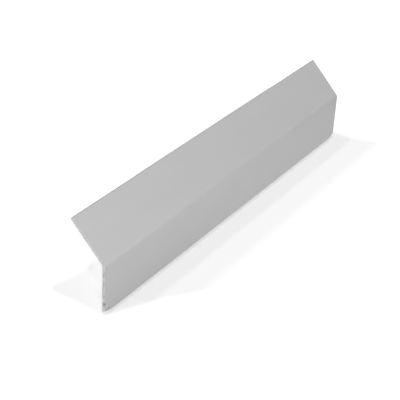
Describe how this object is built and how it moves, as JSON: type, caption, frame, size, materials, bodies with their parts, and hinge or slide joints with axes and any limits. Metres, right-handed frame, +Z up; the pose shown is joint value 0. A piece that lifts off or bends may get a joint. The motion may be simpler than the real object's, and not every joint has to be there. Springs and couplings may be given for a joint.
{
  "type": "obtuse angle section",
  "caption": "Equal-leg angle section folded to 135 degrees from thin satin aluminium, with a rounded bend and square-cut ends, for covering or joining an obtuse corner.",
  "frame": {"origin": "on the floor under the middle of the ridge; the section stands like a low roof on its two free edges", "axes": "+X along the bar, +Z up out of the outside of the bend, -Y towards the leg with the eased corners"},
  "size_m": [0.26, 0.0552, 0.0125],
  "materials": {
    "satin_aluminium": "fine satin, clear anodised, colourless grey"
  },
  "bodies": {
    "root": {"angle_section": "satin_aluminium"}
  },
  "joints": []
}
